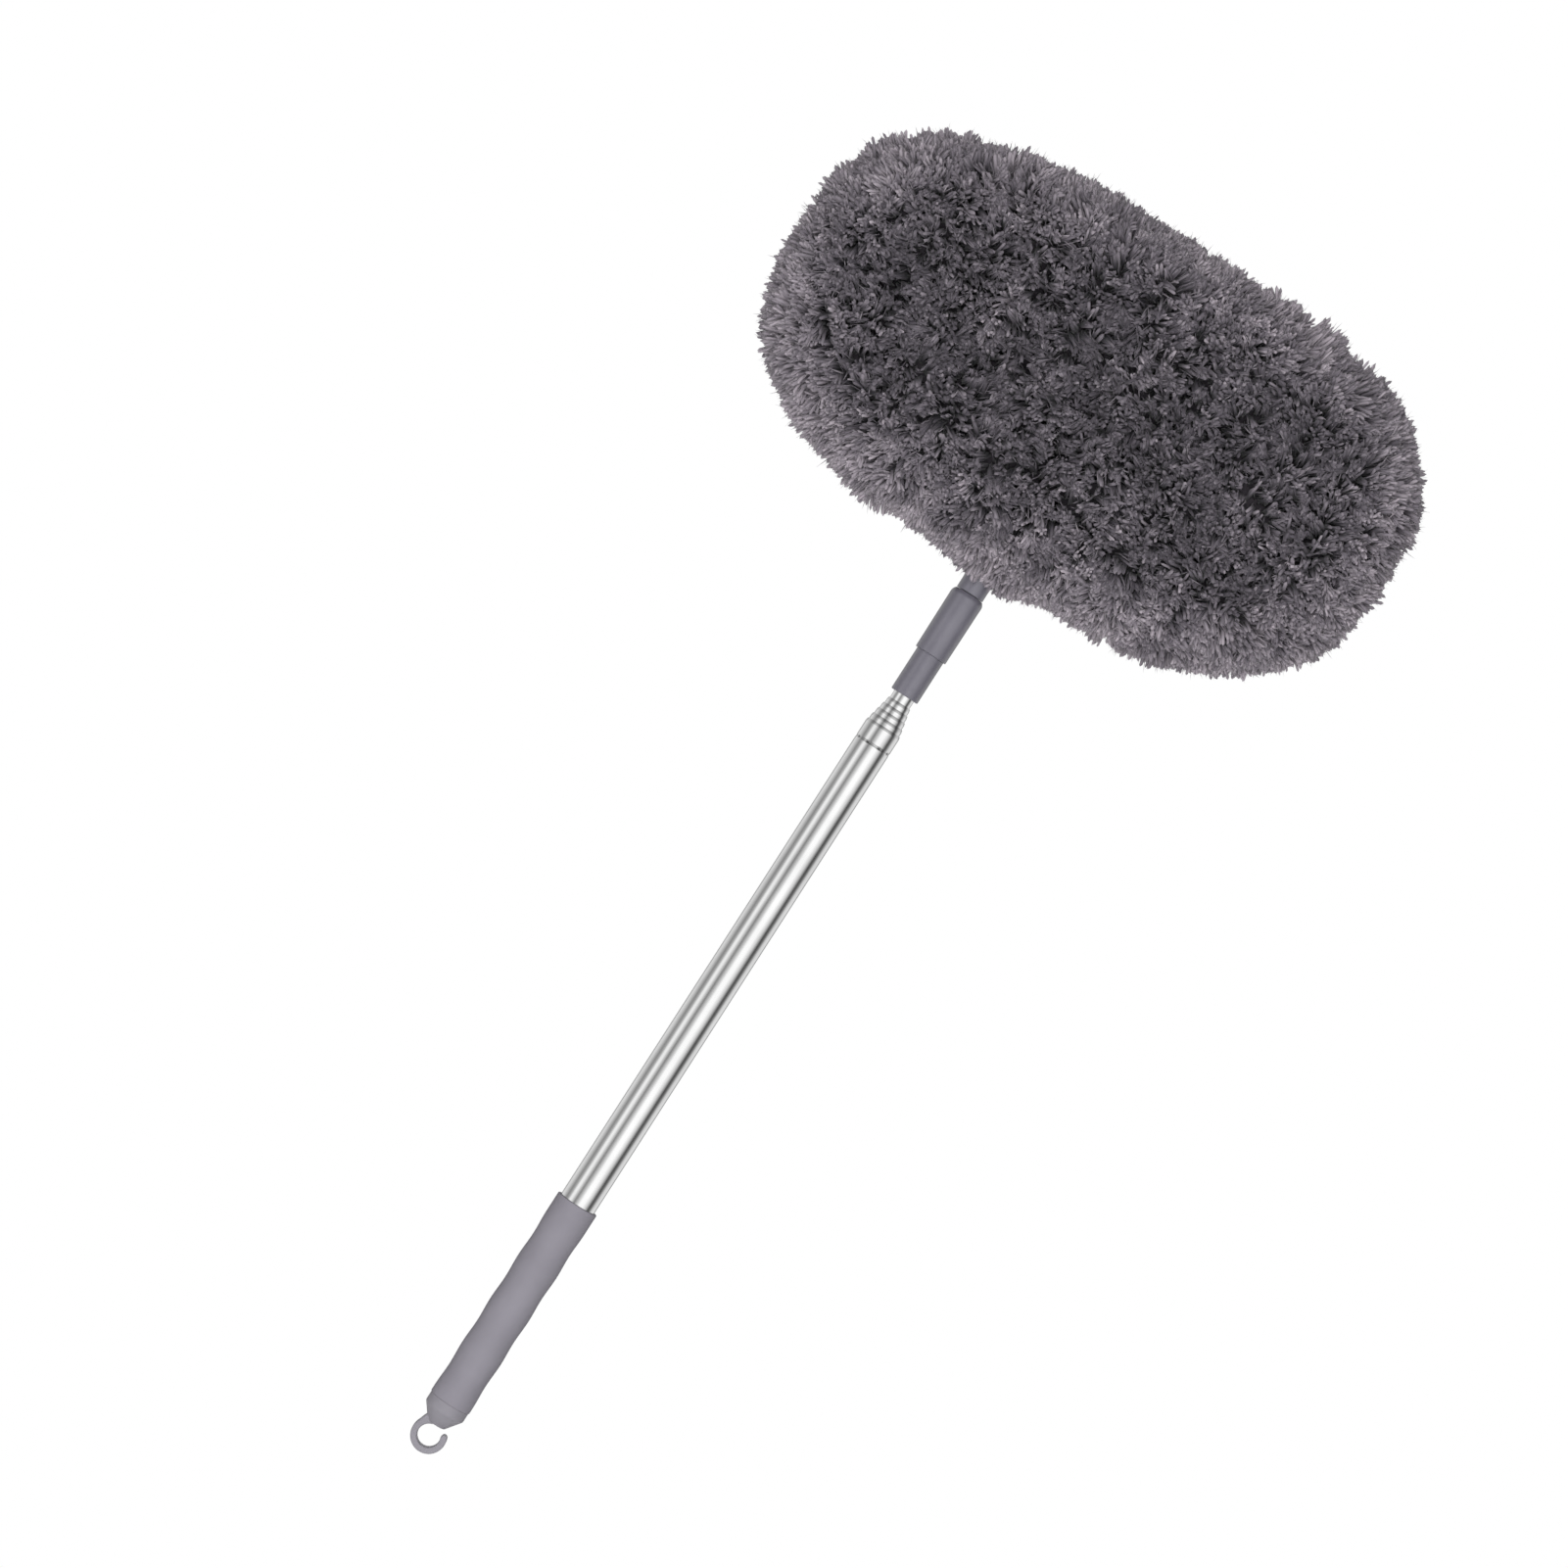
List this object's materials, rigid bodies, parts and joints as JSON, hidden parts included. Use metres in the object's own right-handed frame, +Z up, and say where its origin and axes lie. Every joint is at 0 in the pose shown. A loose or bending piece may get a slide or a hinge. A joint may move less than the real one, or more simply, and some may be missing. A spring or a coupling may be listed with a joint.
{
  "type": "ceiling fan duster",
  "caption": "Telescopic steel pole with a wavy hand grip and hanging hook, and a screw-on fluffy oval loop head that wipes both sides of a fan blade.",
  "frame": {"origin": "on the pole's axis, at the middle of the hand grip", "axes": "+Z up along the pole to the head, X along the head's long side, -Y out of the head's broad front"},
  "size_m": [0.388, 0.104, 0.8062],
  "materials": {
    "polished_steel": "gloss",
    "nylon": "satin",
    "grey_plastic": "satin",
    "grip_rubber": "matte",
    "wire_steel": "satin",
    "hose_plastic": "satin",
    "knit_cloth": "matte",
    "elastic_band": "matte",
    "microfibre_pile": "matte"
  },
  "bodies": {
    "handle": {"tube_1": "polished_steel", "grip_sleeve": "grip_rubber", "end_cap_hook": "grey_plastic"},
    "stage_2": {"tube_2": "polished_steel", "friction_sleeve_2": "nylon"},
    "stage_3": {"tube_3": "polished_steel", "friction_sleeve_3": "nylon"},
    "stage_4": {"tube_4": "polished_steel", "friction_sleeve_4": "nylon"},
    "stage_5": {"tube_5": "polished_steel", "friction_sleeve_5": "nylon"},
    "stage_6": {"tube_6": "polished_steel", "friction_sleeve_6": "nylon", "pole_socket": "grey_plastic"},
    "head": {"head_stem": "grey_plastic", "wire_loop": "wire_steel", "core_hose": "hose_plastic", "sleeve_backing": "knit_cloth", "sleeve_cuff_left": "elastic_band", "sleeve_cuff_right": "elastic_band", "pile_cover": "microfibre_pile"},
    "collar": {"screw_collar": "grey_plastic"}
  },
  "joints": [
    {"name": "slide_2", "type": "slide", "parent": "handle", "child": "stage_2", "axis": [0, 0, 1], "range_m": [0, 0.39]},
    {"name": "slide_3", "type": "slide", "parent": "stage_2", "child": "stage_3", "axis": [0, 0, 1], "range_m": [0, 0.39]},
    {"name": "slide_4", "type": "slide", "parent": "stage_3", "child": "stage_4", "axis": [0, 0, 1], "range_m": [0, 0.39]},
    {"name": "slide_5", "type": "slide", "parent": "stage_4", "child": "stage_5", "axis": [0, 0, 1], "range_m": [0, 0.39]},
    {"name": "slide_6", "type": "slide", "parent": "stage_5", "child": "stage_6", "axis": [0, 0, 1], "range_m": [0, 0.39]},
    {"name": "head_lift", "type": "slide", "parent": "stage_6", "child": "head", "axis": [0, 0, 1], "range_m": [0, 0.02]},
    {"name": "collar_turn", "type": "hinge", "parent": "head", "child": "collar", "pos_m": [0, 0, 0.4527], "axis": [0, 0, 1], "range_deg": [0, 1440]}
  ],
  "couplings": [
    {"joint": "collar_turn", "follows": "head_lift", "rad_per_m": 1256.6}
  ]
}
